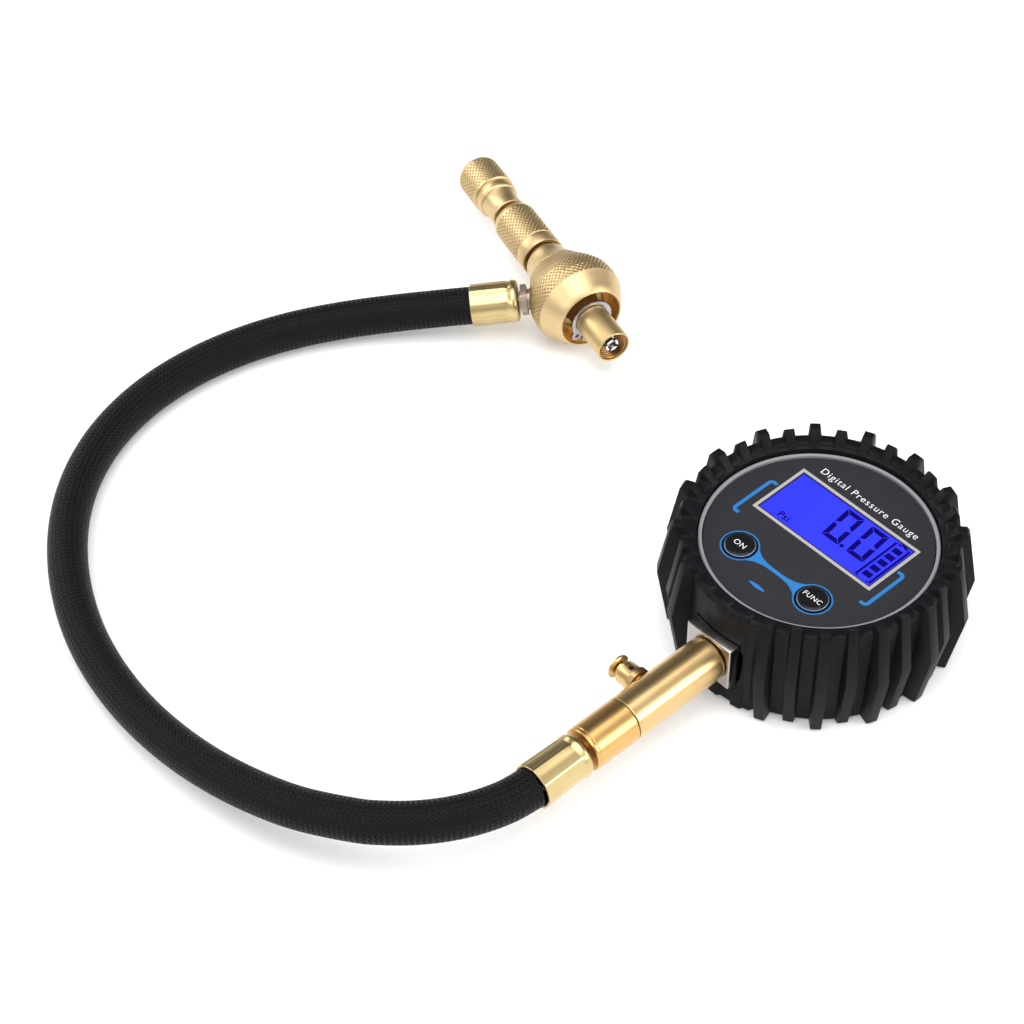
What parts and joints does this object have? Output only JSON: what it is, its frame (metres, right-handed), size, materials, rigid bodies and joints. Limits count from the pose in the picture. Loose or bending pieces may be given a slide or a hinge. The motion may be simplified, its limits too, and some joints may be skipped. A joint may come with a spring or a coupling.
{
  "type": "digital tire pressure gauge",
  "caption": "Digital tire pressure gauge with a rubber boot, backlit display, brass stem with bleed valve, rubber hose and a sliding brass deflator with a pull knob.",
  "frame": {"origin": "centre of the gauge's round back face, on the surface that the object lies on", "axes": "+Z out of the dial, +Y towards 12 o'clock on the dial, so the stem and hose leave along -Y; +X towards 3 o'clock"},
  "size_m": [0.2567, 0.2394, 0.0404],
  "materials": {
    "brass": "satin, fine turning marks",
    "nickel": "satin nickel plate",
    "chrome": "polished",
    "steel": "plain",
    "silver_ring": "metallic light-grey paint",
    "black_rubber": "matt",
    "hose_rubber": "black rubber with a fine braided pattern",
    "case_plastic": "fine texture",
    "face_plastic": "smooth, printed",
    "board_green": "solder mask",
    "display_blue": "lit display",
    "display_window": "glossy, lit from behind",
    "battery_wrap": "printed sleeve"
  },
  "bodies": {
    "gauge": {"battery_1": "battery_wrap", "battery_2": "battery_wrap", "battery_contact_1": "steel", "battery_contact_2": "steel", "battery_cover": "case_plastic", "battery_cover_screw": "steel", "bezel_ring": "silver_ring", "bleed_spring": "steel", "bleeder_body": "brass", "board_screw_1": "steel", "board_screw_2": "steel", "case_gasket": "black_rubber", "circuit_board": "board_green", "display_window": "display_window", "face_plate": "face_plastic", "gauge_case": "case_plastic", "gauge_socket": "nickel", "lcd_module": "display_blue", "mode_switch": "case_plastic", "on_switch": "case_plastic", "pressure_sensor": "steel", "rubber_boot": "black_rubber", "stem_tube": "brass", "swivel_seal": "black_rubber", "swivel_sleeve": "brass"},
    "hose_line": {"swivel_nipple": "brass", "gauge_end_ferrule": "brass", "hose": "hose_rubber", "deflator_end_ferrule": "brass", "port_nipple": "brass", "port_fitting": "nickel", "slide_collar": "brass"},
    "tube_slider": {"retaining_ring": "steel"},
    "deflator_tube": {"deflator_body": "brass", "gland_nut": "brass", "rod_seal": "black_rubber", "front_collar_seal": "black_rubber", "rear_collar_seal": "black_rubber", "valve_seal": "black_rubber"},
    "rod_slider": {"rod_stop_ring": "steel"},
    "knob": {"pull_knob": "brass", "core_rod": "steel", "core_claw": "chrome"},
    "on_key": {"on_button": "face_plastic"},
    "mode_key": {"mode_button": "face_plastic"},
    "bleed_key": {"bleed_button": "brass", "bleed_seal": "black_rubber"}
  },
  "joints": [
    {"name": "on_press", "type": "slide", "parent": "gauge", "child": "on_key", "axis": [0, 0, -1], "range_m": [0, 0.0005], "stiffness_N_per_m": 2000, "springref_m": -0.0002},
    {"name": "mode_press", "type": "slide", "parent": "gauge", "child": "mode_key", "axis": [0, 0, -1], "range_m": [0, 0.0005], "stiffness_N_per_m": 2000, "springref_m": -0.0002},
    {"name": "bleed_press", "type": "slide", "parent": "gauge", "child": "bleed_key", "axis": [1, 0, 0], "range_m": [0, 0.001], "stiffness_N_per_m": 2500, "springref_m": -0.0004},
    {"name": "hose_swivel", "type": "hinge", "parent": "gauge", "child": "hose_line", "pos_m": [0, -0.09, 0.018], "axis": [0, 1, 0], "continuous": true},
    {"name": "tube_slide", "type": "slide", "parent": "hose_line", "child": "tube_slider", "axis": [-0.9624, 0.2716, 0], "range_m": [-0.0012, 0.0042]},
    {"name": "tube_turn", "type": "hinge", "parent": "tube_slider", "child": "deflator_tube", "pos_m": [-0.13959, 0.03568, 0.0151], "axis": [-0.9624, 0.2716, 0], "continuous": true},
    {"name": "rod_pull", "type": "slide", "parent": "deflator_tube", "child": "rod_slider", "axis": [-0.9624, 0.2716, 0], "range_m": [0, 0.022]},
    {"name": "knob_turn", "type": "hinge", "parent": "rod_slider", "child": "knob", "pos_m": [-0.19358, 0.05092, 0.0151], "axis": [-0.9624, 0.2716, 0], "continuous": true}
  ]
}
